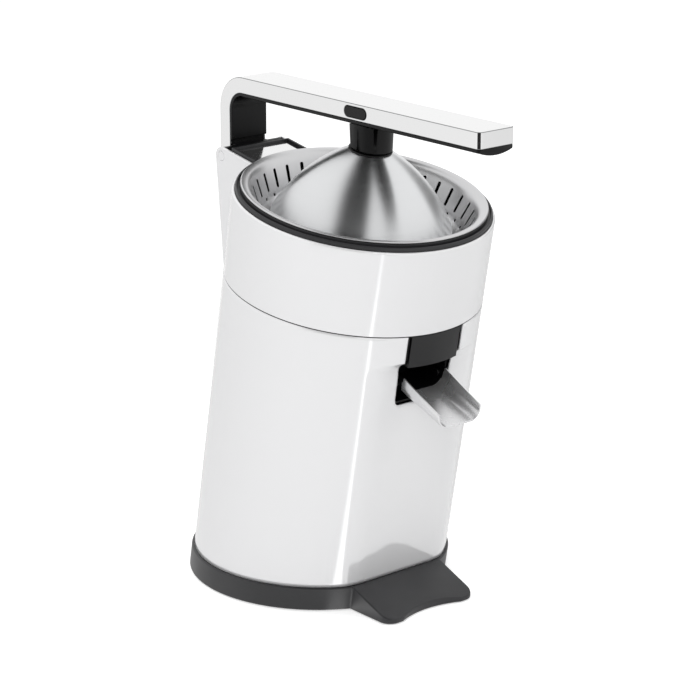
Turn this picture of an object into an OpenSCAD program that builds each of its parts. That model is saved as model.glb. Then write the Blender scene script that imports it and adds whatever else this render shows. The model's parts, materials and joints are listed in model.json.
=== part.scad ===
// Electric citrus press. Millimetres, +Z up, spout towards -Y.
// The body leans forward. Its pieces are drawn upright about the body axis and then leaned about the axis foot.

/* [Body] */
// Radius of the round steel body
body_r = 80; // [70:0.5:100]
// Forward lean of the body axis, degrees
lean = 10.4; // [6:0.1:14]
// Sheet thickness of the steel body
shell_wall = 1.2; // [0.8:0.1:2]
// Height of the upper ring
ring_height = 52.1; // [46:0.1:58]
// Thickness of the dark seam ring
seam_gap = 0.7; // [0.4:0.1:1.2]
// Top edge of the upper ring, along the axis
ring_top = 250; // [245:0.5:256]
// Distance of the front flat inside the round of the body
flat_inset = 8.5; // [4:0.1:12]
// Distance below the seam where the front flat starts to curve out
shoulder_drop = 25.2; // [20:0.1:32]
// Radius of the shoulder above the flat
shoulder_r = 8; // [4:0.5:8.5]

/* [Base] */
// Height of the base band
base_height = 15.8; // [12:0.1:20]
// How far the base stands out from the steel
base_proud = 1.6; // [0.8:0.1:3]
// Wall of the base tray
base_wall = 4; // [3:0.5:6]
// Floor of the base tray
base_floor = 3.2; // [2.6:0.1:4.5]
// Gap between base and table, taken up by the rubber feet
pad_stand = 0.6; // [0.4:0.1:2]
// Height of one rubber foot
pad_height = 2.2; // [1.6:0.1:2.6]
// Radius of one rubber foot
pad_r = 7; // [5:0.5:8]
// Height of the lip that centres the lower shell
lip_height = 6; // [4:0.5:10]

/* [Front foot] */
// Width of the front foot
foot_w = 72; // [64:1:78]
// Reach of the foot in front of the base band
foot_out = 29.1; // [20:0.1:37]
// Corner radius of the foot in plan
foot_corner_r = 8; // [5:0.5:11]
// Radius of the glass notch in the foot
notch_r = 56; // [45:1:70]
// Depth of the glass notch
notch_depth = 5.3; // [3:0.1:8]
// Distance inside the base band where the slope of the foot starts
slope_setback = 3.6; // [0:0.1:5]
// Fall of the foot per millimetre of reach
slope_fall = 0.385; // [0.3:0.005:0.4]

/* [Spout opening] */
// Width of the opening in the steel
opening_w = 41.4; // [40.6:0.1:44]
// Depth of the opening below the spout pivot
opening_drop = 14.2; // [12:0.1:17]
// Corner radius of the opening
opening_r = 4.5; // [2:0.5:6]
// Width of the black panel over the spout
panel_w = 38.4; // [37:0.1:40]
// Height of the panel's lower edge above the spout pivot
panel_rise = 13.8; // [12.8:0.1:18]
// Wall of the bezel box
bezel_wall = 1.5; // [1.2:0.1:1.8]
// Depth of the bezel box behind the round of the body
bezel_depth = 36; // [34:0.5:37]

/* [Spout] */
// Outside width of the spout channel
spout_w = 32; // [28:0.5:33]
// Outside depth of the spout channel
spout_depth = 11.6; // [10:0.1:12]
// Sheet thickness of the spout
spout_wall = 1; // [0.8:0.1:1.4]
// Outside corner radius of the channel
spout_corner_r = 3.5; // [2.5:0.5:8]
// Slope of the spout below level, degrees
spout_slope = 20.7; // [17:0.1:23]
// Length of the channel in front of its pivot, along the top edge
spout_front = 42; // [34:0.5:46]
// Length of the channel behind its pivot
spout_back = 13; // [10:0.5:14]
// Slant of the lip, length lost at the top edge
spout_slant = 6; // [3:0.5:8]
// Pivot depth below the top edge of the channel
pivot_drop = 5.2; // [4.5:0.1:6]
// Pivot distance behind the front flat
pivot_inset = 3.8; // [3.6:0.1:5]
// Pivot distance below the seam
pivot_below = 34; // [32:0.1:36]
// Radius of a spout pin
spout_pin_r = 2; // [1.5:0.1:2.4]

/* [Arm] */
// Width of the lever arm
arm_w = 28.2; // [24:0.1:30]
// Height of the steel side of the arm
arm_side = 10; // [8.6:0.1:12]
// Top of the arm above the hinge pin
arm_rise = 49.5; // [46:0.1:56]
// Front reach of the arm from the axis foot
arm_reach = 160.5; // [140:0.5:180]
// Back of the leg behind the hinge pin
leg_out = 14.4; // [13:0.1:16]
// Outer radius of the elbow
elbow_r = 22; // [18:0.5:26]
// Sheet thickness of the arm
arm_wall = 1.2; // [0.8:0.1:1.6]
// Corner radius of the arm end in plan
arm_end_r = 3; // [1.5:0.5:5]
// Lower end of the leg below the hinge pin
leg_drop = 5.9; // [4:0.1:6.4]
// Thickness of the black liner at its edge
liner_edge = 1.8; // [1.2:0.1:2.4]
// How far the liner bulges below its edge
liner_crown = 3; // [1:0.1:4]
// Length of a release button
button_l = 19.5; // [14:0.5:24]
// Height of a release button
button_h = 6.1; // [4:0.1:6.8]
// Inward travel of a release button
button_travel = 2; // [1:0.1:2.5]
// Play around a release button
button_play = 0.3; // [0.2:0.05:0.5]

/* [Hinge] */
// Hinge pin distance outside the round of the body
pin_out = 28.88; // [28:0.1:30]
// Hinge pin distance below the top of the upper ring, which is also the radius of the ears
pin_drop = 5.74; // [5.4:0.02:7]
// Radius of the hinge pin
pin_r = 3; // [2.5:0.1:3.2]
// Width across the tower ears
tower_w = 50; // [46:0.5:56]
// Wall of the tower
tower_wall = 2; // [1.5:0.1:2.5]
// Slope of the back of the tower from the body axis, degrees
tower_slope = 15.4; // [13:0.1:18]
// Width of the frame beside the tower plate
frame_side = 1.8; // [1.2:0.1:5]
// Width of the frame behind the tower plate
frame_back = 1.2; // [1:0.1:3]
// Radius of the knuckle barrel
barrel_r = 5.3; // [5:0.1:5.4]
// Running play of pins and bushes on the radius
running_play = 0.05; // [0.02:0.01:0.1]

/* [Dome] */
// Distance of the dome's lower edge inside the strainer's rim
dome_gap = 21.5; // [20:0.5:27]
// Radius of the flat top of the dome
dome_top_r = 13; // [12:0.5:14]
// Top of the dome above the top of the upper ring
dome_rise = 34; // [32:0.5:36]
// Height of the dome
dome_h = 46; // [40:0.5:47]
// Radius of the dome's side arc
dome_arc_r = 99; // [80:1:140]
// Sheet thickness of the dome
dome_wall = 1; // [0.8:0.1:1.5]
// Height of the black collar on the dome
collar_h = 1.2; // [1:0.1:1.3]
// Height of the tilt pin above the dome top
tilt_rise = 6; // [5.5:0.1:7]
// Radius of the dome holder at the top
holder_top_r = 13.5; // [12:0.1:14]
// Radius of the dome holder at the bottom
holder_low_r = 12.5; // [11:0.1:13]

/* [Rim and strainer] */
// Distance of the strainer's rolled rim inside the round of the body
rim_inset = 3; // [2.5:0.1:6]
// Radius of the bead on the rim
bead_r = 1.25; // [1:0.05:1.6]
// Height of the rim gasket above the upper ring
gasket_rise = 4.4; // [3:0.1:6]
// Radial width of the rim gasket
gasket_w = 4.7; // [4:0.1:6]
// Sheet thickness of the strainer
strainer_wall = 0.8; // [0.6:0.1:1.2]
// Number of slots around the strainer wall
slot_count = 36; // [24:1:40]
// Width of one slot
slot_w = 1.3; // [0.8:0.1:1.6]
// Number of slots in the strainer floor
floor_slot_count = 24; // [12:2:30]

/* [Juice bowl] */
// Distance of the juice bowl inside the round of the body
bowl_inset = 10; // [9.7:0.1:11]
// Wall of the juice bowl
bowl_wall = 2; // [1.6:0.1:2.4]
// Underside of the bowl floor above the seam
bowl_rise = 6.8; // [6.6:0.1:10.8]
// Inside radius of the chimney round the shaft
chimney_r = 12.5; // [12:0.1:13.5]
// Outside radius of the juice nozzle
nozzle_r = 11; // [8:0.5:11.5]
// Distance of the nozzle inside the round of the body
nozzle_inset = 22; // [21.5:0.5:24]
// Lower end of the nozzle above the spout pivot
nozzle_rise = 11.8; // [10.8:0.1:16]

/* [Reamer and drive] */
// Distance of the reamer's foot inside the dome's lower edge
reamer_gap = 13.5; // [11.5:0.5:17.5]
// Foot of the reamer below the top of the upper ring
reamer_drop = 16; // [14:0.1:16.2]
// Height of the reamer
reamer_h = 40; // [34:0.5:42]
// Number of ribs on the reamer
rib_count = 10; // [6:1:12]
// Distance across the flats of the drive shaft
shaft_flats = 8; // [7:0.1:8.4]
// Travel of the reamer when it is pressed
press_travel = 2.5; // [1.5:0.1:2.5]
// Module of the first gear pair
fast_module = 0.9; // [0.8:0.05:1]
// Module of the second gear pair
slow_module = 1.1; // [1:0.05:1.2]
// Teeth of the motor pinion
pinion_teeth = 12; // [12:4:12]
// Teeth of the large idler gear
idler_teeth = 48; // [48:4:48]
// Teeth of the small idler gear
small_teeth = 14; // [14:4:14]
// Teeth of the output gear
output_teeth = 56; // [56:4:56]
// Pressure angle of all gears, degrees
pressure_angle = 25; // [20:1:25]
// Play between gear flanks
backlash = 0.25; // [0.2:0.05:0.4]
// Radius of the motor can
motor_r = 31; // [28:0.5:33]
// Length of the motor can
motor_l = 69; // [55:0.5:75]

/* [Hidden] */
$fn = 96;

lean_sin = sin(lean);
lean_cos = cos(lean);
shell_in = body_r - shell_wall;
base_r = body_r + base_proud;
floor_top = pad_stand + base_floor;
// Levels along the axis
ring_low = ring_top - ring_height;
seam_height = ring_low - seam_gap;
shoulder_height = seam_height - shoulder_drop;
pivot_height = seam_height - pivot_below;
opening_low = pivot_height - opening_drop;
panel_low = pivot_height + panel_rise;
nozzle_low = pivot_height + nozzle_rise;
bowl_low = seam_height + bowl_rise;
gasket_top = ring_top + gasket_rise;
dome_top = ring_top + dome_rise;
dome_low = dome_top - dome_h;
reamer_low = ring_top - reamer_drop;
reamer_tip = reamer_low + reamer_h;
// Distances from the axis
flat_offset = body_r - flat_inset;
bezel_back = body_r - bezel_depth;
nozzle_out = body_r - nozzle_inset;
bowl_r = body_r - bowl_inset;
rim_r = body_r - rim_inset;
dome_r = rim_r - dome_gap;
reamer_r = dome_r - reamer_gap;
// Plan of the foot
foot_reach = base_r + foot_out;
slope_start = base_r - slope_setback;
pad_front = foot_reach - 14.7;
pad_rear_x = base_r - 21.6;
// Half the difference between front and back reach centres the part on the origin
axis_y = (arm_reach - base_r / lean_cos + pad_stand * lean_sin / lean_cos) / 2;
// Hinge pin in body coordinates
pin_e = body_r + pin_out;
pin_s = ring_top - pin_drop;
pin_back = pin_e * lean_cos - pin_s * lean_sin;
pin_height = pin_e * lean_sin + pin_s * lean_cos;
ear_r = pin_drop;
tower_e = pin_e + ear_r * cos(tower_slope);
tower_s = pin_s - ear_r * sin(tower_slope);
tower_foot = tower_s - (tower_e - body_r) / tan(tower_slope);
ear_in = tower_w / 2 - tower_wall;
tower_r = body_r + 0.15;
// Arm levels
arm_top = pin_height + arm_rise;
leg_low = pin_height - leg_drop;
leg_back = pin_back + leg_out;
arm_in = arm_w / 2 - arm_wall;
arm_under = arm_top - arm_side;
leg_front = leg_back - arm_side;
elbow_y = leg_back - elbow_r;
elbow_z = arm_top - elbow_r;
elbow_in = elbow_r - arm_side;
crown_r = (arm_w * arm_w / 4 + liner_crown * liner_crown) / (2 * liner_crown);
crown_low = arm_under - liner_edge - liner_crown;
// Dome tilt pin and holder
tilt_s = dome_top + tilt_rise;
holder_y = -tilt_s * lean_sin;
collar_top = dome_top + collar_h;
holder_low = collar_top + 1;
button_y = holder_y - 1.3;
button_z = arm_top - 5.2;
button_in = 3.3;
// Drive levels along the axis
deck_low = seam_height - 5.2;
cover_low = deck_low - 3;
case_low = deck_low - 27;
motor_low = case_low - motor_l;
case_floor = 2.5;
slow_low = cover_low - 9;
slow_high = cover_low - 1;
fast_low = case_low + 5;
fast_high = case_low + 12;
hub_r = 8;
bush_r = 11;
bush_top = seam_height + 1.8;
fast_gap = fast_module * (pinion_teeth + idler_teeth) / 2;
slow_gap = slow_module * (small_teeth + output_teeth) / 2;
idler_e = slow_gap;
motor_e = slow_gap - fast_gap;
axle_r = 3;
case_r = slow_module * (output_teeth / 2 + 0.9) + 3.7;
case_idler_r = fast_module * (idler_teeth / 2 + 0.9) + 3.7;
case_wall = 2.5;
sleeve_low = bush_top + press_travel + 0.3;
sleeve_top = bowl_low + 12;
post_x = body_r - 34;
post_front = 40 - body_r;
post_rear = body_r - 34;
post_r = 5;
shaft_corner_r = shaft_flats / sqrt(3);

// Upright pieces, measured from the foot of the body axis
module stand() translate([0, axis_y, 0]) children();

// Pieces along the leaning body axis
module leaned() stand() rotate([lean, 0, 0]) children();

// Upright rod between two heights
module rod(r, low, high) translate([0, 0, low]) cylinder(r = r, h = high - low);

// Upright tube between two heights
module tube(r_out, r_in, low, high) difference() {
  rod(r_out, low, high);
  rod(r_in, low - 1, high + 1);
}

// Block between two corners
module block(low, high) translate(low) cube(high - low);

// Rod along X between two x values, at y and z
module cross_rod(r, x_low, x_high, y, z) translate([x_low, y, z]) rotate([0, 90, 0]) cylinder(r = r, h = x_high - x_low);

// Side outline in y and z, extruded across x
module across(width) rotate([90, 0, 90]) linear_extrude(height = width, center = true) children();

// Rectangle with all corners rounded, centred
module rounded_plate(w, d, r) union() {
  square([w - 2 * r, d], center = true);
  square([w, d - 2 * r], center = true);
  for (x = [-1, 1], y = [-1, 1]) translate([x * (w / 2 - r), y * (d / 2 - r)]) circle(r = r);
}

// Everything below a level plane
module below(z) block([-300, -300, -200], [300, 300, z]);

// Everything above a level plane
module above(z) block([-300, -300, z], [300, 300, 600]);

// Space in front of the flat, closed by the rounded shoulder
module front_cut(flat, fillet) across(2 * body_r + 40) union() {
  translate([-200, -60]) square([200 - flat, 60 + shoulder_height]);
  translate([-flat - fillet, shoulder_height]) circle(r = fillet);
  translate([-200, shoulder_height - 1]) square([200 - flat - fillet, fillet + 1]);
}

// Solid body section with the front flat, inset from the outside by a distance
module body_core(inset, low, high) difference() {
  rod(body_r - inset, low, high);
  front_cut(flat_offset - inset, shoulder_r + inset);
}

// Arc through two profile points, bulging outward
function arc_centre(p, q, r) = let(d = norm(q - p), n = [p[1] - q[1], q[0] - p[0]] / d)
  (p + q) / 2 - sqrt(r * r - d * d / 4) * n;
function arc_points(p, q, r, inset, steps) = let(c = arc_centre(p, q, r))
  [for (i = [0:steps]) let(a = atan2(p[1] - c[1], p[0] - c[0]), b = atan2(q[1] - c[1], q[0] - c[0]),
    t = a + (b - a) * i / steps) c + (r - inset) * [cos(t), sin(t)]];
function back(list) = [for (i = [len(list) - 1:-1:0]) list[i]];

// Gear outline: involute half thickness at root, pitch and tip of every tooth
function inv(a) = tan(a) * 180 / PI - a;
function polar(r, a) = [r * cos(a), r * sin(a)];
function half_tooth(n, m, r) = let(base = m * n / 2 * cos(pressure_angle))
  90 / n - backlash / (2 * m * n / 2) * 180 / PI + inv(pressure_angle) - inv(acos(min(1, base / r)));
function tip_r(n, m) = m * (n / 2 + 0.9);
function root_r(n, m) = m * (n / 2 - 1.15);
function gear_outline(n, m) = let(r0 = root_r(n, m), r1 = m * n / 2, r2 = tip_r(n, m), h0 = half_tooth(n, m, r0),
  h1 = half_tooth(n, m, r1), h2 = half_tooth(n, m, r2))
  [for (i = [0:n - 1], k = [[r0, -h0], [r1, -h1], [r2, -h2], [r2, h2], [r1, h1], [r0, h0]])
    polar(k[0], i * 360 / n + k[1])];

// Pan head screw along +Z, head at the bottom
module screw(head_r, head_h, r, length) union() {
  cylinder(r = head_r, h = head_h);
  cylinder(r = r, h = head_h + length);
}

// Base tray

// Outline of the front foot in plan
module foot_plan() difference() {
  translate([0, -foot_reach / 2 - 20]) rounded_plate(foot_w, foot_reach - 40, foot_corner_r);
  translate([0, -foot_reach + notch_depth - notch_r]) circle(r = notch_r);
}

// Space above the sloping top of the foot
module foot_slope_cut() across(300) polygon([
  [-slope_start, base_height],
  [-slope_start, 120],
  [-2 * foot_reach, 120],
  [-2 * foot_reach, base_height - slope_fall * (2 * foot_reach - slope_start)]
]);

module pads_at() for (p = [[-26, -pad_front], [26, -pad_front], [-pad_rear_x, 28], [pad_rear_x, 28]]) translate([p[0], p[1], 0]) children();

module posts_at() for (x = [-post_x, post_x], e = [post_front, post_rear]) translate([x, e, 0]) children();

// Level positions where the leaning posts meet the base floor
module post_feet_at() for (x = [-post_x, post_x], e = [post_front, post_rear])
  translate([x, (e - floor_top * lean_sin) / lean_cos, 0]) children();

module base_tray() color("#3b3b3d") stand() difference() {
  union() {
    difference() {
      union() {
        intersection() {
          rotate([lean, 0, 0]) rod(base_r, -60, 120);
          block([-200, -200, pad_stand], [200, 200, base_height]);
        }
        translate([0, 0, pad_stand]) linear_extrude(height = base_height - pad_stand) foot_plan();
      }
      foot_slope_cut();
      intersection() {
        rotate([lean, 0, 0]) body_core(base_wall - base_proud, -60, 120);
        above(floor_top);
      }
    }
    intersection() {
      rotate([lean, 0, 0]) difference() {
        body_core(shell_wall + 0.3, -60, 120);
        body_core(base_wall - base_proud + 0.8, -70, 130);
      }
      block([-200, -200, floor_top - 0.5], [200, 200, base_height + lip_height]);
    }
  }
  pads_at() rod(pad_r + 0.1, pad_stand - 1, pad_height);
  post_feet_at() rod(1.9, 0, 10);
  post_feet_at() rod(3.8, 0, pad_stand + 1.5);
  translate([0, 0, gland_z]) rotate([-90, 0, 0]) cylinder(r = gland_r + 0.1, h = 120);
}

module base_feet() color("#1d1d1e") stand() pads_at() rod(pad_r, 0, pad_height);

module base_screws() color("#9a9a9c") stand() post_feet_at() translate([0, 0, pad_stand + 0.1]) screw(3.5, 1.3, 1.6, 12);

gland_r = 4.4;
gland_z = 9.6;
gland_back = base_r / lean_cos - gland_z * lean_sin;

module cord_gland() color("#1d1d1e") stand() translate([0, gland_back - 9, gland_z]) rotate([-90, 0, 0]) difference() {
  union() {
    cylinder(r = gland_r, h = 8.5);
    cylinder(r = gland_r + 1, h = 3);
  }
  translate([0, 0, -1]) cylinder(r = 3, h = 12);
}

// Steel body

// Opening for the spout, drawn in x and height
module opening_cut() translate([0, -40, 0]) rotate([90, 0, 0]) linear_extrude(height = 80) union() {
  translate([-opening_w / 2, opening_low + opening_r]) square([opening_w, 80]);
  translate([-opening_w / 2 + opening_r, opening_low]) square([opening_w - 2 * opening_r, 20]);
  for (x = [-1, 1]) translate([x * (opening_w / 2 - opening_r), opening_low + opening_r]) circle(r = opening_r);
}

module tower_screws_at() for (x = [-14, 14], drop = [31.2, 13.2]) translate([x, 0, seam_height - drop]) rotate([-90, 0, 0]) children();

module lower_shell() color("#d9dadb") difference() {
  leaned() difference() {
    body_core(0, 0, seam_height);
    body_core(shell_wall, -60, seam_height + 10);
    opening_cut();
    tower_screws_at() cylinder(r = 1.9, h = 100);
  }
  below(base_height);
}

module seam_ring() color("#2a2a2b") leaned() tube(body_r - 0.4, bowl_r + 0.4, seam_height, ring_low);

module upper_ring() color("#dcdddd") leaned() rotate_extrude() polygon([
  [bowl_r + 0.6, ring_low],
  [body_r, ring_low],
  [body_r, ring_top - 0.8],
  [body_r - 0.5, ring_top],
  [shell_in - 0.4, ring_top],
  [shell_in - 0.4, ring_top - 3],
  [bowl_r + 0.4, ring_top - 3],
  [bowl_r + 0.4, ring_top - 4.5],
  [shell_in, ring_top - 4.5],
  [shell_in, ring_low + 1.8],
  [bowl_r + 0.6, ring_low + 1.8]
]);

// Hinge tower

module tower_side(inset) union() {
  translate([pin_e, pin_s]) circle(r = ear_r - inset);
  polygon([
    [body_r - 20, ring_top - inset],
    [pin_e, ring_top - inset],
    [pin_e, pin_s],
    [tower_e - inset, tower_s],
    [body_r - inset, tower_foot],
    [body_r - 20, tower_foot]
  ]);
}

module hinge_tower() color("#d4d5d6") leaned() difference() {
  union() {
    difference() {
      across(tower_w) tower_side(0);
      across(2 * ear_in) union() {
        tower_side(tower_wall);
        translate([body_r - 20, pin_s]) square([pin_e - body_r + 20, 60]);
        translate([pin_e, pin_s]) circle(r = barrel_r + 0.9);
        translate([pin_e, pin_s]) square([30, 30]);
      }
      block([-arm_w / 2 - 1.4, pin_e - 6, pin_s - 22], [arm_w / 2 + 1.4, pin_e + 40, pin_s + 60]);
    }
    intersection() {
      tower_screws_at() rod(4, body_r - 10, 130);
      across(tower_w - 1) tower_side(1);
    }
  }
  rod(tower_r, 0, 400);
  tower_screws_at() cylinder(r = 1.7, h = body_r + 9);
  cross_rod(pin_r + 0.03, -60, 60, pin_e, pin_s);
}

cover_x = ear_in - 0.2;
cover_back = pin_e - barrel_r - 1.6;

module tower_cover() color("#343436") leaned() difference() {
  block([-cover_x, body_r - 10, pin_s + 0.4], [cover_x, cover_back, ring_top + 2]);
  rod(tower_r, 0, 400);
  block([-cover_x + frame_side, body_r - 20, ring_top - 0.6], [cover_x - frame_side, cover_back - frame_back, ring_top + 10]);
}

module tower_plate() color("#e2e3e3") leaned() difference() {
  block([-cover_x + frame_side + 0.2, body_r - 10, ring_top - 0.55], [cover_x - frame_side - 0.2, cover_back - frame_back - 0.2,
    ring_top + 0.3]);
  rod(tower_r + 0.2, 0, 400);
}

module tower_screws() color("#9a9a9c") leaned() tower_screws_at() translate([0, 0, body_r - 5.6]) screw(3, 2.2, 1.6, 10);

module hinge_pin() color("#c9cacb") leaned() cross_rod(pin_r, -tower_w / 2, tower_w / 2, pin_e, pin_s);

// Rim, strainer and bowl

gasket_out = shell_in - 0.6;

module rim_gasket() color("#38383a") leaned() rotate_extrude() polygon([
  [gasket_out - gasket_w, ring_top - 2.9],
  [gasket_out, ring_top - 2.9],
  [gasket_out, gasket_top - 1.2],
  [gasket_out - 0.9, gasket_top],
  [gasket_out - gasket_w + 0.8, gasket_top],
  [gasket_out - gasket_w, gasket_top - 0.8]
]);

bead_s = gasket_top + bead_r + 0.05;
wall_top = [rim_r - 8.4, gasket_top - 1.2];
wall_low = [rim_r - 14.4, gasket_top - 15.2];
strainer_floor = gasket_top - 27.6;

module strainer_profile() union() {
  translate([rim_r - bead_r, bead_s]) circle(r = bead_r);
  polygon([
    [rim_r - bead_r, bead_s - 0.2],
    [rim_r - bead_r, bead_s + 0.8],
    [rim_r - 6.6, gasket_top + 1],
    wall_top,
    wall_low,
    [rim_r - 16.6, gasket_top - 19],
    [rim_r - 21.4, strainer_floor + 3.6],
    [chimney_r + 3, strainer_floor],
    [chimney_r + 3, strainer_floor - strainer_wall],
    [rim_r - 21.1, strainer_floor + 3.6 - strainer_wall],
    [rim_r - 15.9, gasket_top - 19.4],
    wall_low + [0.85, -0.4],
    wall_top + [0.85, -0.5],
    [rim_r - 6.4, gasket_top + 0.1]
  ]);
}

module strainer_basket() color("#d6d7d8") leaned() difference() {
  rotate_extrude() strainer_profile();
  for (i = [0:slot_count - 1]) rotate([0, 0, (i + 0.5) * 360 / slot_count])
    block([rim_r - 18, -slot_w / 2, gasket_top - 14.2], [rim_r - 4, slot_w / 2, gasket_top - 3.1]);
  for (i = [0:slot_count - 1]) rotate([0, 0, i * 360 / slot_count])
    translate([rim_r - 20, 0, gasket_top - 17.3]) rotate([0, 90, 0]) cylinder(r = 0.8, h = 14);
  for (i = [0:floor_slot_count - 1]) rotate([0, 0, i * 360 / floor_slot_count])
    block([chimney_r + 9.5, -slot_w / 2, strainer_floor - 5], [rim_r - 29, slot_w / 2, strainer_floor + 8]);
}

module juice_bowl() color("#2c2c2e") leaned() difference() {
  union() {
    rotate_extrude() polygon([
      [chimney_r, bowl_low],
      [bowl_r, bowl_low],
      [bowl_r, ring_top - 2.9],
      [gasket_out - gasket_w - 0.2, ring_top - 2.9],
      [gasket_out - gasket_w - 0.2, ring_top - 1.3],
      [bowl_r - bowl_wall, ring_top - 1.3],
      [bowl_r - bowl_wall, bowl_low + 2],
      [chimney_r + 1.6, bowl_low + 2],
      [chimney_r + 1.6, reamer_low - press_travel - 1.2],
      [chimney_r, reamer_low - press_travel - 1.2]
    ]);
    translate([0, -nozzle_out, 0]) rod(nozzle_r, nozzle_low, bowl_low + 1);
  }
  translate([0, -nozzle_out, 0]) rod(nozzle_r - 2, nozzle_low - 1, bowl_low + 4);
}

// Spout opening

bezel_x = opening_w / 2 - 0.3;
pivot_e = -flat_offset + pivot_inset;

module spout_bezel() color("#2f2f30") leaned() difference() {
  union() {
    intersection() {
      difference() {
        block([-bezel_x, -100, opening_low + 0.5], [bezel_x, -bezel_back, seam_height - 0.2]);
        block([-bezel_x + bezel_wall, -110, opening_low + 2], [bezel_x - bezel_wall, -bezel_back - bezel_wall,
          seam_height - 1.7]);
      }
      body_core(shell_wall + 0.8, 0, 400);
    }
    intersection() {
      tube(body_r - 0.4, body_r - 3, panel_low, seam_height - 0.2);
      block([-panel_w / 2, -100, 0], [panel_w / 2, -40, 400]);
    }
  }
  translate([0, -nozzle_out, 0]) rod(nozzle_r + 0.4, nozzle_low + 5, nozzle_low + 125);
  cross_rod(spout_pin_r + running_play, -40, 40, pivot_e, pivot_height);
}

// Chassis, gearbox and motor

module case_plan(grow) union() {
  circle(r = case_r + grow);
  translate([0, idler_e]) circle(r = case_idler_r + grow);
}

switch_x = 20;

module chassis_deck() color("#4a4c50") leaned() difference() {
  rod(shell_in - 0.4, deck_low, seam_height);
  rod(bush_r + 0.1, 0, 400);
  block([-bezel_x - 0.5, -100, 0], [bezel_x + 0.5, -bezel_back + 0.6, 400]);
  block([switch_x - 0.2, -3.5, 0], [switch_x + 20.2, 3.5, 400]);
  posts_at() rod(1.9, 0, 400);
}

module chassis_posts() color("#55575b") leaned() posts_at() difference() {
  rod(post_r, 0, deck_low);
  rod(1.7, deck_low - 14, deck_low + 1);
}

module chassis_posts_cut() difference() {
  chassis_posts();
  below(floor_top);
  stand() post_feet_at() rod(1.7, 0, 18);
  leaned() for (x = [-post_x, post_x], s = board_screws_s) translate([x, post_front, s]) rotate([90, 0, 0])
    cylinder(r = 1.3, h = 20);
}

module deck_screws() color("#9a9a9c") leaned() posts_at() translate([0, 0, seam_height + 1.8]) rotate([180, 0, 0])
  screw(3.2, 1.8, 1.6, 16);

module gearbox_case() color("#7a7d80") leaned() difference() {
  translate([0, 0, case_low]) linear_extrude(height = cover_low - case_low) case_plan(0);
  translate([0, 0, case_low + case_floor]) linear_extrude(height = 40) case_plan(-case_wall);
  translate([0, motor_e, 0]) rod(7, 0, 400);
  translate([0, idler_e, 0]) rod(axle_r + 0.1, case_low + 0.8, 400);
  motor_screws_at() rod(1.9, 0, 400);
}

module gearbox_cover() color("#7a7d80") leaned() difference() {
  translate([0, 0, cover_low]) linear_extrude(height = deck_low - cover_low) case_plan(0);
  rod(bush_r + 0.1, 0, 400);
  translate([0, idler_e, 0]) rod(axle_r + 0.1, 0, deck_low - 0.8);
}

module shaft_bush() color("#b08d57") leaned() tube(bush_r, hub_r + running_play, cover_low, bush_top);

module shaft_seal() color("#1d1d1e") leaned() tube(chimney_r - 0.3, shaft_corner_r + 4.4, bowl_low + 5, bowl_low + 8);

module idler_axle() color("#b9babb") leaned() translate([0, idler_e, 0]) rod(axle_r, case_low + 0.9, deck_low - 0.9);

module motor_screws_at() for (x = [-18, 18]) translate([x, motor_e, 0]) children();

module motor_can() color("#8f9194") leaned() translate([0, motor_e, 0]) difference() {
  rod(motor_r, motor_low, case_low);
  rod(motor_r - 1.6, motor_low - 1, case_low - 5);
  rod(6.1, 0, 400);
  for (x = [-18, 18]) translate([x, 0, 0]) rod(1.7, 0, 400);
}

module motor_end_plate() color("#2f3033") leaned() translate([0, motor_e, 0]) difference() {
  rod(motor_r, motor_low - 4, motor_low);
  rod(6.1, 0, 400);
  for (a = [30:60:330]) rotate([0, 0, a]) translate([19, 0, 0]) rod(4, 0, 400);
}

module motor_magnets() color("#4d4d50") leaned() translate([0, motor_e, 0]) difference() {
  tube(motor_r - 1.7, motor_r - 5, motor_low + 8, case_low - 12);
  block([-60, -4, 0], [60, 4, 400]);
}

module motor_bearings() color("#b08d57") leaned() translate([0, motor_e, 0]) union() {
  tube(6, 3 + running_play, case_low - 5, case_low);
  tube(6, 3 + running_play, motor_low - 4, motor_low);
}

module motor_screws() color("#9a9a9c") leaned() motor_screws_at() translate([0, 0, case_low + case_floor + 1.6])
  rotate([180, 0, 0]) screw(2.8, 1.5, 1.6, 6);

module micro_switch() color("#26262a") leaned() union() {
  block([switch_x, -3.3, deck_low + 0.1], [switch_x + 20, 3.3, seam_height + 1]);
  translate([switch_x + 3, 0, 0]) rod(1.2, seam_height, seam_height + 1.5);
}

board_screws_s = [64, 116];
board_e = post_front - post_r - 0.1;

module power_board() color("#2f6b45") leaned() difference() {
  block([-post_x - 4, board_e - 1.6, 56], [post_x + 4, board_e, 124]);
  for (x = [-post_x, post_x], s = board_screws_s) translate([x, 0, s]) rotate([90, 0, 0]) cylinder(r = 1.6, h = 100);
}

module board_capacitor() color("#b5a13a") leaned() block([-9, board_e - 10.1, 76], [9, board_e - 1.65, 90]);

module board_screws() color("#9a9a9c") leaned() for (x = [-post_x, post_x], s = board_screws_s)
  translate([x, board_e - 3.1, s]) rotate([-90, 0, 0]) screw(2.6, 1.4, 1.2, 6);

// Lever arm

// Side outline of an L-shaped bar: distance in from the outside, thickness, front end and lower end
module elbow_bar(inset, thick, front, low) union() {
  translate([-front, arm_top - inset - thick]) square([front + elbow_y, thick]);
  translate([leg_back - inset - thick, low]) square([thick, elbow_z - low]);
  intersection() {
    translate([elbow_y, elbow_z]) difference() {
      circle(r = elbow_r - inset);
      circle(r = elbow_r - inset - thick);
    }
    translate([elbow_y, elbow_z]) square([100, 100]);
  }
}

// Plan of the arm with its rounded end corners
module arm_plan(inset) translate([0, (leg_back - arm_reach) / 2 + 50])
  rounded_plate(arm_w - 2 * inset, arm_reach + leg_back + 100 - 2 * inset, arm_end_r - inset);

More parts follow.
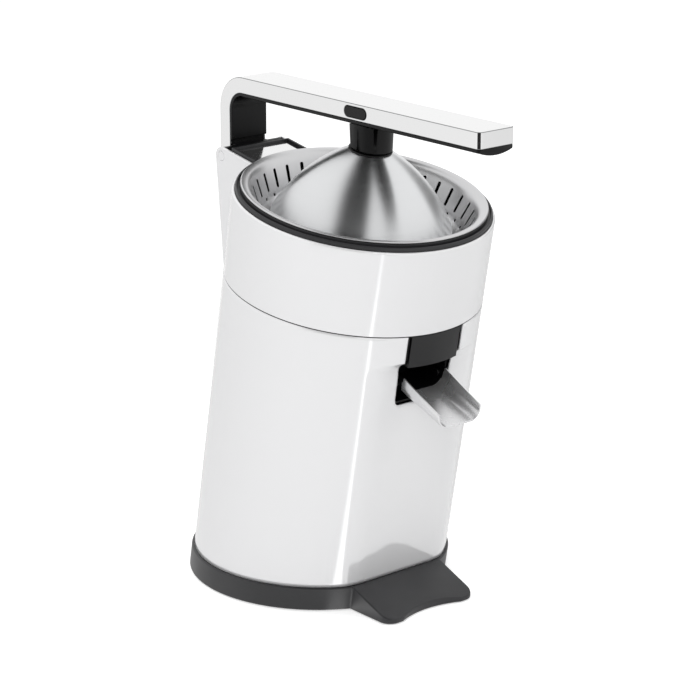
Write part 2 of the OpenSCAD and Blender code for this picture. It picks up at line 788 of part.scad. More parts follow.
// Stadium outline of a release button, in y and z
module button_outline(grow) union() {
  square([button_l - button_h, button_h + 2 * grow], center = true);
  for (y = [-1, 1]) translate([y * (button_l - button_h) / 2, 0]) circle(r = button_h / 2 + grow);
}

module button_prism(grow, x_low, x_high) translate([x_low, button_y, button_z]) rotate([90, 0, 90])
  linear_extrude(height = x_high - x_low) button_outline(grow);

module arm_shell() color("#dfe0e0") stand() difference() {
  intersection() {
    across(arm_w) elbow_bar(0, arm_side, arm_reach, leg_low);
    linear_extrude(height = 400) arm_plan(0);
  }
  intersection() {
    across(2 * arm_in) elbow_bar(arm_wall, arm_side, arm_reach - arm_wall, leg_low - 10);
    linear_extrude(height = 400) arm_plan(arm_wall);
  }
  button_prism(button_play, -60, 60);
  cross_rod(barrel_r + 0.2, -60, 60, pin_back, pin_height);
}

module arm_liner() color("#1b1b1c") stand() difference() {
  union() {
    intersection() {
      rotate([90, 0, 0]) linear_extrude(height = 600, center = true) intersection() {
        translate([0, crown_low + crown_r]) circle(r = crown_r);
        translate([-arm_w / 2 + 0.2, crown_low - 5]) square([arm_w - 0.4, arm_under - 0.05 - crown_low + 5]);
      }
      across(60) polygon([
        [-arm_reach + 0.4, arm_under + 20],
        [-arm_reach + 0.4, crown_low - 1],
        [elbow_y - 40, crown_low - 1],
        [elbow_y, arm_under - liner_edge],
        [elbow_y, arm_under + 20]
      ]);
      linear_extrude(height = 400) arm_plan(0.2);
    }
    across(arm_w - 0.4) difference() {
      elbow_bar(arm_side + 0.05, liner_edge - 0.05, -elbow_y + 0.1, pin_height + barrel_r + 3);
    }
  }
  translate([0, holder_y, 0]) rod(8.3, 0, 400);
}

module arm_knuckle() color("#1f1f20") stand() difference() {
  union() {
    cross_rod(barrel_r, -ear_in + 0.4, ear_in - 0.4, pin_back, pin_height);
    block([-arm_in + 0.2, pin_back, leg_low + 1], [arm_in - 0.2, leg_front + 0.4, pin_height + barrel_r]);
    block([-arm_in + 0.2, leg_front + 0.2, leg_low + 0.2], [arm_in - 0.2, leg_back - arm_wall - 0.1, pin_height + 16]);
  }
  cross_rod(pin_r + 0.3, -60, 60, pin_back, pin_height);
  for (x = [-1, 1]) cross_rod(bush_out + 0.1, x * ear_in - 8, x * ear_in + 8, pin_back, pin_height);
}

bush_out = pin_r + 1.1;

module hinge_bushes() color("#b08d57") stand() for (x = [-1, 1]) difference() {
  cross_rod(bush_out, x * (ear_in - 4.2) - 3.6, x * (ear_in - 4.2) + 3.6, pin_back, pin_height);
  cross_rod(pin_r + running_play, -60, 60, pin_back, pin_height);
}

module dome_holder() color("#1d1d1e") difference() {
  union() {
    difference() {
      intersection() {
        stand() translate([0, holder_y, arm_under - 24]) cylinder(r1 = holder_low_r, r2 = holder_top_r, h = 24);
        leaned() above(holder_low);
      }
      stand() translate([0, 0, crown_low + crown_r]) rotate([90, 0, 0]) cylinder(r = crown_r + 0.15, h = 600, center = true);
    }
    stand() translate([0, holder_y, 0]) rod(8, crown_low - 4, button_z + 0.5);
  }
  leaned() block([-4, -7, holder_low - 10], [4, 7, tilt_s + 5.6]);
  leaned() cross_rod(tilt_pin_r + 0.1, -9.1, 9.1, 0, tilt_s);
}

tilt_pin_r = 2;

module tilt_pin() color("#c3c4c5") leaned() cross_rod(tilt_pin_r, -9, 9, 0, tilt_s);

module release_button_left() color("#1d1d1e") stand() button_prism(0, -arm_w / 2 - 0.2, -arm_w / 2 + button_in);

module release_button_right() color("#1d1d1e") stand() button_prism(0, arm_w / 2 - button_in, arm_w / 2 + 0.2);

// Dome

module press_dome() color("#cfd0d1") leaned() difference() {
  rotate_extrude() polygon(concat(
    [[0, dome_top - dome_wall], [0, dome_top]],
    arc_points([dome_top_r, dome_top], [dome_r, dome_low], dome_arc_r, 0, 14),
    back(arc_points([dome_top_r, dome_top - dome_wall], [dome_r - dome_wall, dome_low], dome_arc_r - dome_wall, 0, 14))
  ));
  rod(4.1, 0, 400);
}

module dome_collar() color("#1d1d1e") leaned() tube(dome_top_r + 0.4, 4.1, dome_top + 0.02, collar_top);

module dome_stud() color("#b9babb") leaned() difference() {
  union() {
    rod(4, dome_top - 4, collar_top + 1);
    rod(9, dome_top - dome_wall - 2.4, dome_top - dome_wall - 0.02);
    rod(7, collar_top + 0.02, collar_top + 0.5);
    intersection() {
      block([-3.5, -5, collar_top], [3.5, 5, tilt_s + 4.6]);
      union() {
        cross_rod(4.6, -10, 10, 0, tilt_s);
        block([-10, -4.6, collar_top], [10, 4.6, tilt_s]);
      }
    }
  }
  cross_rod(tilt_pin_r + running_play, -20, 20, 0, tilt_s);
}

// Reamer and drive

module thrust_sleeve() color("#8b8d90") leaned() difference() {
  union() {
    rod(shaft_corner_r + 3.8, sleeve_low, sleeve_top);
    rod(14, sleeve_low, sleeve_low + 1.5);
    block([0, -3, sleeve_low], [switch_x + 7, 3, sleeve_low + 1.5]);
  }
  rod(shaft_corner_r + 0.4, 0, 400);
}

module return_spring() color("#a5a6a8") leaned() tube(14, bush_r + 0.6, seam_height + 0.05, sleeve_low - 0.05);

reamer_arc_r = 70;

module reamer_cone() color("#2a2a2c") leaned() difference() {
  union() {
    difference() {
      rotate_extrude() polygon(concat(
        [[0, reamer_low], [0, reamer_tip]],
        arc_points([3, reamer_tip - 0.8], [reamer_r - 2.4, reamer_low + 3], reamer_arc_r, 0, 10),
        [[reamer_r, reamer_low + 2.2], [reamer_r, reamer_low]]
      ));
      rotate_extrude() polygon(concat(
        [[0, reamer_low - 1], [0, reamer_tip - 8]],
        arc_points([3, reamer_tip - 8.8], [reamer_r - 5, reamer_low - 1], reamer_arc_r - 3, 0, 6)
      ));
    }
    intersection() {
      rod(shaft_corner_r + 4, reamer_low, reamer_tip - 4);
      rotate_extrude() polygon(concat(
        [[0, reamer_low], [0, reamer_tip]],
        arc_points([3, reamer_tip - 0.8], [reamer_r - 2.4, reamer_low], reamer_arc_r, 0.5, 10)
      ));
    }
    for (i = [0:rib_count - 1]) rotate([90, 0, i * 360 / rib_count]) linear_extrude(height = 2.4, center = true)
      polygon(concat(
        arc_points([2, reamer_tip - 0.6], [reamer_r - 0.4, reamer_low + 1], reamer_arc_r * 0.72, 0, 8),
        back(arc_points([2, reamer_tip - 2.5], [reamer_r - 4, reamer_low + 1], reamer_arc_r, 0, 8))
      ));
  }
  translate([0, 0, reamer_low - 1]) cylinder(r = shaft_corner_r + 0.12, h = 15, $fn = 6);
}

module drive_shaft() color("#b9babb") leaned() union() {
  translate([0, 0, slow_low + 2]) cylinder(r = shaft_corner_r, h = reamer_low + 13 - slow_low - 2, $fn = 6);
  rod(shaft_corner_r + 3.2, sleeve_top + 0.02, sleeve_top + 2.5);
}

module output_gear() color("#d8d3c4") leaned() difference() {
  union() {
    translate([0, 0, slow_low]) linear_extrude(height = slow_high - slow_low) polygon(gear_outline(output_teeth, slow_module));
    rod(hub_r, slow_low, bush_top);
  }
  translate([0, 0, slow_low - 1]) cylinder(r = shaft_corner_r + 0.12, h = 40, $fn = 6);
}

module idler_gear() color("#d8d3c4") leaned() translate([0, idler_e, 0]) difference() {
  union() {
    translate([0, 0, fast_low]) rotate([0, 0, 180 / idler_teeth]) linear_extrude(height = fast_high - fast_low)
      polygon(gear_outline(idler_teeth, fast_module));
    translate([0, 0, fast_low]) linear_extrude(height = slow_high - fast_low) polygon(gear_outline(small_teeth, slow_module));
  }
  rod(axle_r + running_play, 0, 400);
}

module motor_rotor() color("#6a5a48") leaned() translate([0, motor_e, 0]) union() {
  rod(3, motor_low - 13, fast_high + 1);
  rod(motor_r - 5.6, motor_low + 12, case_low - 14);
  rod(9, motor_low + 5, motor_low + 12);
}

module motor_pinion() color("#b08d57") leaned() translate([0, motor_e, 0]) difference() {
  translate([0, 0, fast_low - 1]) linear_extrude(height = fast_high - fast_low + 1.5)
    polygon(gear_outline(pinion_teeth, fast_module));
  rod(3.1, 0, 400);
}

module cooling_fan() color("#3a3a3d") leaned() translate([0, motor_e, 0]) difference() {
  union() {
    rod(6, motor_low - 13, motor_low - 5);
    rod(motor_r - 4, motor_low - 13, motor_low - 11.4);
    for (a = [0:45:315]) rotate([0, 0, a]) block([4, -0.8, motor_low - 12], [motor_r - 4.5, 0.8, motor_low - 5.5]);
  }
  rod(3.1, 0, 400);
}

// Spout

// Local frame of the spout: x across, y back along the channel, z up from the pivot
module spout_frame() leaned() translate([0, pivot_e, pivot_height]) rotate([spout_slope - lean, 0, 0]) children();

module channel(inset, y_low, y_high) translate([0, y_high, 0]) rotate([90, 0, 0]) linear_extrude(height = y_high - y_low) union() {
  translate([0, pivot_drop + 20]) square([spout_w - 2 * inset, 40 + 2 * (spout_depth - spout_corner_r)], center = true);
  translate([-spout_w / 2 + spout_corner_r, pivot_drop - spout_depth + inset]) square([spout_w - 2 * spout_corner_r, 20]);
  for (x = [-1, 1]) translate([x * (spout_w / 2 - spout_corner_r), pivot_drop - spout_depth + spout_corner_r])
    circle(r = spout_corner_r - inset);
}

module spout() color("#cfd0d1") spout_frame() difference() {
  channel(0, -spout_front - 10, spout_back);
  channel(spout_wall, -spout_front - 20, spout_back + 10);
  block([-60, -200, pivot_drop], [60, 200, 200]);
  across(100) polygon([
    [-spout_front + spout_slant, pivot_drop + 1],
    [-spout_front, pivot_drop - spout_depth - 0.1],
    [-spout_front - 40, pivot_drop - spout_depth - 0.1],
    [-spout_front - 40, pivot_drop + 1]
  ]);
  cross_rod(spout_pin_r + 0.1, -60, 60, 0, 0);
}

// Pins run from the flange inside the channel into the wall of the bezel box
flange_x = spout_w / 2 - spout_wall - 1.6;
pin_mid = (flange_x + bezel_x - 0.5) / 2;
pin_half = (bezel_x - 0.5 - flange_x) / 2;

module spout_pins() color("#b9babb") spout_frame() for (x = [-1, 1]) union() {
  cross_rod(spout_pin_r, x * pin_mid - pin_half, x * pin_mid + pin_half, 0, 0);
  cross_rod(spout_pin_r + 0.6, x * flange_x - 0.5, x * flange_x + 0.5, 0, 0);
}

base_tray();
base_feet();
base_screws();
cord_gland();
lower_shell();
seam_ring();
upper_ring();
hinge_tower();
tower_cover();
tower_plate();
tower_screws();
hinge_pin();
rim_gasket();
strainer_basket();
juice_bowl();
spout_bezel();
chassis_deck();
chassis_posts_cut();  // chassis_posts
deck_screws();
gearbox_case();
gearbox_cover();
shaft_bush();
shaft_seal();
idler_axle();
motor_can();
motor_end_plate();
motor_magnets();
motor_bearings();
motor_screws();
micro_switch();
power_board();
board_capacitor();
board_screws();
arm_shell();
arm_liner();
arm_knuckle();
hinge_bushes();
dome_holder();
tilt_pin();
release_button_left();
release_button_right();
press_dome();
dome_collar();
dome_stud();
thrust_sleeve();
return_spring();
reamer_cone();
drive_shaft();
output_gear();
idler_gear();
motor_rotor();
motor_pinion();
cooling_fan();
spout();
spout_pins();
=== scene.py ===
"""Looks of the electric citrus press: polished and brushed steel sheet, charcoal and black mouldings.

Lengths are millimetres in the script and metres in the meshes. Pieces along the body are worked out as (x, e, s):
x across, e to the back and s along the leaning body axis, and are then leaned into the frame.
"""

import json
import math

import bmesh
import bpy
import numpy as np
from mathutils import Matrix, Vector


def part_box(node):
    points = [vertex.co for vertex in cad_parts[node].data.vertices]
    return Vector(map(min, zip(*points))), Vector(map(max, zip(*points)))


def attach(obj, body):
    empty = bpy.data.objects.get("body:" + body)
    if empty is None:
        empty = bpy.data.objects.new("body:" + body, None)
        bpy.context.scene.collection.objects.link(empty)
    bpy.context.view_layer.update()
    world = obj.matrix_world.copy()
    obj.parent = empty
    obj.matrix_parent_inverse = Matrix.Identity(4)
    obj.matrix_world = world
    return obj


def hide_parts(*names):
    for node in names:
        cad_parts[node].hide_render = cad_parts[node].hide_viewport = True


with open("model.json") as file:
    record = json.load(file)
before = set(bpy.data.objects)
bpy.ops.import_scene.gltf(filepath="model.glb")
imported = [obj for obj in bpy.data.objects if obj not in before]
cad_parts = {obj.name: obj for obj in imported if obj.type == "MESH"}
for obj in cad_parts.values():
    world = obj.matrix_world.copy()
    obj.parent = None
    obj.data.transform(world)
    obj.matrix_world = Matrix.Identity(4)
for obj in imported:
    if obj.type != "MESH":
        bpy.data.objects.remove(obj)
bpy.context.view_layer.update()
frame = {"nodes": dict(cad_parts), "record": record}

MM = 0.001
LEAN = math.radians(10.4)
ARM_REACH = 160.5
# The body axis meets the table this far behind the frame's origin.
AXIS_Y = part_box("arm_shell")[0].y / MM + ARM_REACH

# Body
BODY_R = 80.0
SHEET = 1.2
SEAM = 197.2
RING_LOW = 197.9
RING_TOP = 250.0
RING_EDGE = 251.3
BASE_TOP = 15.8
FLAT = 71.5
SHOULDER = 172.0
SHOULDER_R = 8.0
OPENING_HALF = 20.7
OPENING_LOW = 149.0
OPENING_R = 4.5
OPENING_SPREAD = 1.3
PANEL_R = 79.6
# Half-width over which the flat's crease with the round body is softened
CREASE = 4.0

# Rim and strainer
GASKET_TOP = 253.9
GASKET_OUT = 78.2
GASKET_IN = 73.5
CREST_IN = 76.9
GROOVE = 1.5
SEAT_R = 75.4
SEAT = 1.2
RIM_R = 75.3
BEAD_R = 0.75
STRAINER_SHEET = 0.6
CUT_EDGE_ANGLE = 50
SLOTS = 36
SLOT_HALF = 1.15
SLOT_AT_R = 65
SLOT_DROP = (3.1, 14.2)
HOLE_HALF = 1.05
HOLE_AT_R = 60
HOLE_DROP = (16.2, 18.2)
# Strainer wall: radius at its top, how far that is below the gasket's top, and how far it comes in per millimetre down
WALL_TOP_R = 68.6
WALL_TOP_DROP = 1.2
WALL_TAPER = (6, 14)

# Spout channel in its own frame at the pivot: x across, v to the back along the slope, w up from it
SPOUT_AT = (0.0, -96.04, 148.3)
SPOUT_SLOPE = math.radians(20.7)
SPOUT_HALF = 16.0
SPOUT_CORNER = 6.8
SPOUT_LOW = -6.4
SPOUT_HIGH = 5.2
SPOUT_LIP_HIGH = 1.6
SPOUT_BACK = 13.0
SPOUT_FRONT = -41.4
SPOUT_SHEET = 1.0
# Where the painted shade on the channel begins, towards the back along the slope
SPOUT_SHADE_FROM = -4.0
PIN_HOLE_R = 2.3

# Dome
DOME_R = 55.5
DOME_LOW = 238.0
DOME_TOP = 284.0
DOME_TOP_R = 13.0
DOME_ARC_R = 99.0
DOME_SHEET = 1.0

# Camera, solved from the photograph: place and aim, from the axis foot.
CAMERA_AT = (-969.7, -1172.8, 606.1)
CAMERA_AIM = (0.0, -32.4, 150.0)
CAMERA_LENS = 130.25

# Studio as polished steel sees it. Pairs are the values at which a soft edge begins and ends.
SKY = 1.03
SKY_FILL = 0.55
# Dark fan behind the camera, in degrees from -Y to +X, and a dark card at the right
FAN_ANGLE = -51.0
FAN_LEFT = (-0.42, -0.22)
FAN_RIGHT = (0.35, 0.27)
FAN_UP = (0.15, 0.35)
FAN_FRONT = (-0.3, -0.1)
FAN_LEVEL = 0.02
RIGHT_CARD = (0.98, 0.17, 0.09)
CARD_EDGE = (0.92, 0.97)
CARD_LEVEL = 0.2
# Floor: its own glow to the camera, and its brightness to polished steel by the angle round the object, 0 and 1 at -X,
# 0.25 at -Y and 0.5 at +X
FLOOR_HALF = 6
FLOOR_GLOW = 0.45
FLOOR_LEVELS = [(0.0, 0.9), (0.2, 0.9), (0.36, 0.76), (0.45, 0.76), (0.54, 0.6), (0.75, 0.78), (1.0, 0.9)]
FLOOR_GAIN = 1.15
# Dark sector of the floor far out, by distance in metres and by angle
DARK_REACH = (0.92, 1.02)
DARK_FIRST = (0.02, 0.035)
DARK_LAST = (0.235, 0.215)
DARK_LEVEL = 0.03
# Bright streak on the floor: direction across it, its offset from the axis foot and its edge, in metres
STREAK_ACROSS = (0.934, -0.358, 0)
STREAK_OFFSET = 0.0152
STREAK_EDGE = (0.009, 0.003)
STREAK_GAIN = 2.8


# Geometry helpers

def leaned(x, e, s):
    """Frame coordinates in metres of body coordinates: e and s turned by the lean about the axis foot."""
    x, e, s = np.broadcast_arrays(x, e, s)
    y = e * math.cos(LEAN) - s * math.sin(LEAN) + AXIS_Y
    z = e * math.sin(LEAN) + s * math.cos(LEAN)
    return np.stack([x, y, z], axis=-1) * MM


def upright(x, y, z):
    """Frame coordinates in metres of upright coordinates measured from the axis foot."""
    x, y, z = np.broadcast_arrays(x, y, z)
    return np.stack([x, y + AXIS_Y, z], axis=-1) * MM


def mesh_object(name, points, faces, body):
    """A smooth-shaded mesh object at the origin that rides on a body."""
    mesh = bpy.data.meshes.new(name)
    mesh.from_pydata(points.reshape(-1, 3), [], faces.tolist())
    mesh.validate()
    mesh.shade_smooth()
    piece = bpy.data.objects.new(name, mesh)
    bpy.context.scene.collection.objects.link(piece)
    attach(piece, body)
    return piece


def quads(index):
    """Quads between neighbours in a grid of point numbers."""
    return np.stack([index[:-1, :-1], index[:-1, 1:], index[1:, 1:], index[1:, :-1]], axis=-1)


def numbers(rows, columns, first=0, close_rows=False, close_columns=False):
    """Point numbers of a grid stored row by row, with the first row or column repeated at the end where it closes."""
    index = first + np.arange(rows * columns).reshape(rows, columns)
    if close_rows:
        index = np.concatenate([index, index[:1]])
    if close_columns:
        index = np.concatenate([index, index[:, :1]], axis=1)
    return index


def rounded(points, radii, steps=6):
    """A closed outline with each corner p replaced by an arc of its radius, tangent to both sides."""
    p = np.asarray(points, float)
    before = np.roll(p, 1, axis=0) - p
    after = np.roll(p, -1, axis=0) - p
    before /= np.linalg.norm(before, axis=1, keepdims=True)
    after /= np.linalg.norm(after, axis=1, keepdims=True)
    half = np.arccos(np.clip((before * after).sum(1), -1, 1)) / 2
    r = np.broadcast_to(np.asarray(radii, float), half.shape)
    bisector = before + after
    bisector /= np.linalg.norm(bisector, axis=1, keepdims=True)
    centre = p + bisector * (r / np.sin(half))[:, None]
    start = p + before * (r / np.tan(half))[:, None] - centre
    end = p + after * (r / np.tan(half))[:, None] - centre
    a0 = np.arctan2(start[:, 1], start[:, 0])
    sweep = np.arctan2(end[:, 1], end[:, 0]) - a0
    sweep = (sweep + np.pi) % (2 * np.pi) - np.pi
    t = np.linspace(0, 1, steps)
    angle = a0[:, None] + sweep[:, None] * t
    arc = centre[:, None] + r[:, None, None] * np.stack([np.cos(angle), np.sin(angle)], axis=-1)
    return arc.reshape(-1, 2)


def arc_between(p, q, r, count):
    """Points on the arc of radius r from p to q that bulges outward, away from the axis."""
    p, q = np.asarray(p, float), np.asarray(q, float)
    d = np.linalg.norm(q - p)
    normal = np.array([p[1] - q[1], q[0] - p[0]]) / d
    centre = (p + q) / 2 - math.sqrt(r * r - d * d / 4) * normal
    a = math.atan2(*(p - centre)[::-1])
    b = math.atan2(*(q - centre)[::-1])
    t = np.linspace(a, b, count)
    return centre + r * np.stack([np.cos(t), np.sin(t)], axis=-1)


def turned(name, outline, body, segments=256):
    """A closed (r, s) outline turned about the body axis: x = r sin t, e = -r cos t. UV: u round the axis."""
    outline = np.asarray(outline)
    t = np.linspace(0, 2 * np.pi, segments, endpoint=False)
    r, s = outline[:, 0][:, None], outline[:, 1][:, None]
    points = leaned(r * np.sin(t), -r * np.cos(t), s + 0 * t)
    faces = quads(numbers(len(outline), segments, close_rows=True, close_columns=True))
    i, j = np.indices(faces.shape[:2])
    around = np.stack([j, j + 1, j + 1, j], -1) / segments
    along = np.stack([i, i, i + 1, i + 1], -1) / len(outline)
    uv = np.stack([around, along], -1)
    piece = mesh_object(name, points, faces.reshape(-1, 4), body)
    piece.data.uv_layers.new(name="round").data.foreach_set("uv", uv.ravel())
    return piece


def outward(piece):
    """Turns the faces of a closed piece outwards."""
    mesh = bmesh.new()
    mesh.from_mesh(piece.data)
    bmesh.ops.recalc_face_normals(mesh, faces=mesh.faces)
    mesh.to_mesh(piece.data)
    mesh.free()
    return piece


def sheet_wall(piece, thickness):
    """Gives a sheet its thickness in millimetres, behind its faces."""
    wall = piece.modifiers.new("sheet_thickness", "SOLIDIFY")
    wall.thickness = thickness * MM
    wall.offset = -1
    return wall


def rounded_edges(piece, width, segments, angle):
    """Rounds edges sharper than an angle in degrees to a width in millimetres."""
    bevel = piece.modifiers.new("edge_rounding", "BEVEL")
    bevel.width = width * MM
    bevel.segments = segments
    bevel.limit_method = "ANGLE"
    bevel.angle_limit = math.radians(angle)
    return bevel


# Nodes whose edges are all long enough for their rounding
LONG_EDGED = ("arm_shell", "arm_liner", "dome_holder", "hinge_tower", "tower_cover", "base_tray")


def softened(node, body, width, segments=3, angle=28.0):
    """A merged copy of a CAD node whose edges sharper than an angle are rounded to a width."""
    copy = frame["nodes"][node].data.copy()
    mesh = bmesh.new()
    mesh.from_mesh(copy)
    bmesh.ops.remove_doubles(mesh, verts=mesh.verts, dist=2e-6)
    bmesh.ops.dissolve_limit(mesh, angle_limit=math.radians(0.3), verts=mesh.verts, edges=mesh.edges)
    mesh.to_mesh(copy)
    mesh.free()
    copy.materials.clear()
    copy.shade_smooth()
    if copy.has_custom_normals:
        copy.attributes.remove(copy.attributes["custom_normal"])
    piece = bpy.data.objects.new(node + "_finished", copy)
    bpy.context.scene.collection.objects.link(piece)
    bevel = rounded_edges(piece, width, segments, angle)
    bevel.use_clamp_overlap = node not in LONG_EDGED
    bevel.harden_normals = True
    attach(piece, body)
    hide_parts(node)
    return piece


# Materials

def linear(colour):
    """Linear RGBA of an sRGB hex colour."""
    value = np.array([int(colour[i:i + 2], 16) for i in (1, 3, 5)]) / 255
    rgb = np.where(value <= 0.04045, value / 12.92, ((value + 0.055) / 1.055) ** 2.4)
    return (*rgb, 1.0)


def add(tree, kind, inputs=None, **attributes):
    """Adds a node: inputs holds values, or output sockets to link, by socket name."""
    node = tree.nodes.new(kind)
    for name, value in attributes.items():
        setattr(node, name, value)
    for name, value in (inputs or {}).items():
        if isinstance(value, bpy.types.NodeSocket):
            tree.links.new(value, node.inputs[name])
        else:
            node.inputs[name].default_value = value
    return node


def new_material(name):
    """An empty node material and its output node."""
    material = bpy.data.materials.new(name)
    material.use_nodes = True
    tree = material.node_tree
    tree.nodes.clear()
    output = tree.nodes.new("ShaderNodeOutputMaterial")
    return material, tree, output


def polished_steel(name, colour, low, high, metal=1.0):
    """Stainless sheet, buffed: a bright face with faint cloudy buffing marks; what isn't metal is scattering haze."""
    material, tree, output = new_material(name)
    place = add(tree, "ShaderNodeTexCoord").outputs["Object"]
    # Buffing clouds about 25 mm across, drawn out along the body.
    stretch = add(tree, "ShaderNodeMapping", inputs={"Vector": place, "Scale": (40, 40, 12)}).outputs["Vector"]
    clouds = add(tree, "ShaderNodeTexNoise", inputs={"Vector": stretch, "Scale": 1.0, "Detail": 1.0}).outputs["Fac"]
    rough = add(tree, "ShaderNodeMapRange", inputs={"Value": clouds, "To Min": low, "To Max": high}).outputs["Result"]
    shader = add(tree, "ShaderNodeBsdfPrincipled", inputs={"Base Color": linear(colour), "Metallic": metal,
                                                           "Roughness": rough})
    tree.links.new(shader.outputs[0], output.inputs[0])
    return material


def brushed_steel(name, colour="#cfd0d1", low=0.2, high=0.34, grain="turned", spun=False):
    """Stainless sheet, belt or lathe brushed: fine parallel scratches, drawn about 0.4 mm or more apart to show."""
    material, tree, output = new_material(name)
    place = add(tree, "ShaderNodeTexCoord").outputs["Object"]
    # Turned pieces are scratched round the body axis: the pattern varies along it and hardly across it.
    scale = {"turned": (9, 9, 2600), "drawn": (1600, 60, 60)}[grain]
    turn = (-LEAN, 0, 0) if grain == "turned" else (0, 0, 0)
    mapped = add(tree, "ShaderNodeMapping", inputs={"Vector": place, "Rotation": turn,
                                                    "Scale": scale}).outputs["Vector"]
    grit = add(tree, "ShaderNodeTexNoise", inputs={"Vector": mapped, "Scale": 1.0, "Detail": 2.0}).outputs["Fac"]
    rough = add(tree, "ShaderNodeMapRange", inputs={"Value": grit, "From Min": 0.3, "From Max": 0.7, "To Min": low,
                                                    "To Max": high}).outputs["Result"]
    bump = add(tree, "ShaderNodeBump", inputs={"Height": grit, "Strength": 0.05, "Distance": 0.0002}).outputs["Normal"]
    shader = add(tree, "ShaderNodeBsdfPrincipled", inputs={"Base Color": linear(colour), "Metallic": 1.0,
                                                           "Roughness": rough, "Normal": bump})
    if spun:
        # Grooves run round the axis, so reflections are drawn out across them.
        tangent = add(tree, "ShaderNodeTangent", direction_type="UV_MAP", uv_map="round").outputs[0]
        tree.links.new(tangent, shader.inputs["Tangent"])
        shader.inputs["Anisotropic"].default_value = 0.85
        shader.inputs["Anisotropic Rotation"].default_value = 0.25
    tree.links.new(shader.outputs[0], output.inputs[0])
    return material


def moulded_plastic(name, colour, low, high, grain_mm=0.7, depth=0.12, gloss=0.5):
    """Injection-moulded plastic: a fine spark-eroded grain from the tool and slight unevenness of gloss."""
    material, tree, output = new_material(name)
    place = add(tree, "ShaderNodeTexCoord").outputs["Object"]
    grain = add(tree, "ShaderNodeTexNoise", inputs={"Vector": place, "Scale": 1000 / grain_mm,
                                                    "Detail": 2.0}).outputs["Fac"]
    sheen = add(tree, "ShaderNodeTexNoise", inputs={"Vector": place, "Scale": 35.0, "Detail": 3.0}).outputs["Fac"]
    rough = add(tree, "ShaderNodeMapRange", inputs={"Value": sheen, "From Min": 0.3, "From Max": 0.7, "To Min": low,
                                                    "To Max": high}).outputs["Result"]
    bump = add(tree, "ShaderNodeBump", inputs={"Height": grain, "Strength": depth,
                                               "Distance": 0.0001}).outputs["Normal"]
    shader = add(tree, "ShaderNodeBsdfPrincipled", inputs={"Base Color": linear(colour), "Roughness": rough, "IOR": 1.5,
                                                           "Normal": bump, "Specular IOR Level": gloss})
    tree.links.new(shader.outputs[0], output.inputs[0])
    return material


MIRROR_STEEL = polished_steel("mirror_polished_stainless", "#ececec", 0.07, 0.13)
BODY_STEEL = polished_steel("fine_polished_stainless_sheet", "#e8e8e9", 0.08, 0.13, 0.24)
# Darker steel for the arm's rounded edges: a painted dark reflection that draws a thin dark line along them
EDGE_DARK_REFLECTION_STEEL = polished_steel("painted_dark_edge_reflection", "#8e8f90", 0.25, 0.35)
SPOUT_STEEL = polished_steel("fine_polished_pressed_stainless", "#e4e4e5", 0.24, 0.3, 0.85)
SATIN_STEEL = polished_steel("satin_electropolished_stainless", "#d2d2d3", 0.26, 0.34)
FINISH = {
    "polished_steel": MIRROR_STEEL,
    "brushed_steel": brushed_steel("belt_brushed_stainless", "#d6d7d8", 0.36, 0.46, "drawn"),
    "charcoal_plastic": moulded_plastic("moulded_charcoal_abs", "#232325", 0.38, 0.5),
    "black_plastic": moulded_plastic("moulded_black_abs", "#080809", 0.32, 0.42, gloss=0.25),
    "black_rubber": moulded_plastic("moulded_black_rubber", "#18181a", 0.6, 0.8, 1.0),
    "bright_steel": brushed_steel("turned_bright_steel", "#b9babb", 0.22, 0.32),
    "sintered_bronze": brushed_steel("sintered_bronze", "#b08d57", 0.35, 0.5),
    "grey_chassis": moulded_plastic("glass_filled_grey_nylon", "#4c4f54", 0.5, 0.65),
    "natural_acetal": moulded_plastic("natural_acetal", "#ded8c8", 0.35, 0.45),
    "motor_steel": brushed_steel("zinc_plated_motor_can", "#9c9ea2", 0.3, 0.42),
    "motor_plastic": moulded_plastic("moulded_motor_nylon", "#26262a", 0.4, 0.55),
    "motor_iron": brushed_steel("laminated_iron_and_copper", "#7d6650", 0.4, 0.55),
    "green_board": moulded_plastic("green_board_lacquer", "#1f5a38", 0.25, 0.35),
    "yellow_capacitor": moulded_plastic("yellow_capacitor_box", "#b8a23c", 0.35, 0.45),
}
SPUN_STEEL = brushed_steel("lathe_brushed_stainless", "#e2e3e4", 0.3, 0.36, spun=True)
PANEL = moulded_plastic("moulded_dark_grey_abs", "#1d1d1e", 0.45, 0.55, gloss=0.35)
SLOT_OF = {part["node"]: part["material_slot"] for part in frame["record"]["subparts"]}
for node_name, node_object in frame["nodes"].items():
    node_object.data.materials.clear()
    node_object.data.materials.append(FINISH["black_plastic" if node_name == "spout_pins" else SLOT_OF[node_name]])


def finish(piece, material):
    """Gives a piece its material."""
    piece.data.materials.clear()
    piece.data.materials.append(material)
    return piece


# Steel body

def soft_max(a, b, k):
    """The larger of a and b, with the crease between them rounded over a width k."""
    h = np.clip(0.5 + 0.5 * (a - b) / k, 0, 1)
    return b * (1 - h) + a * h + k * h * (1 - h)


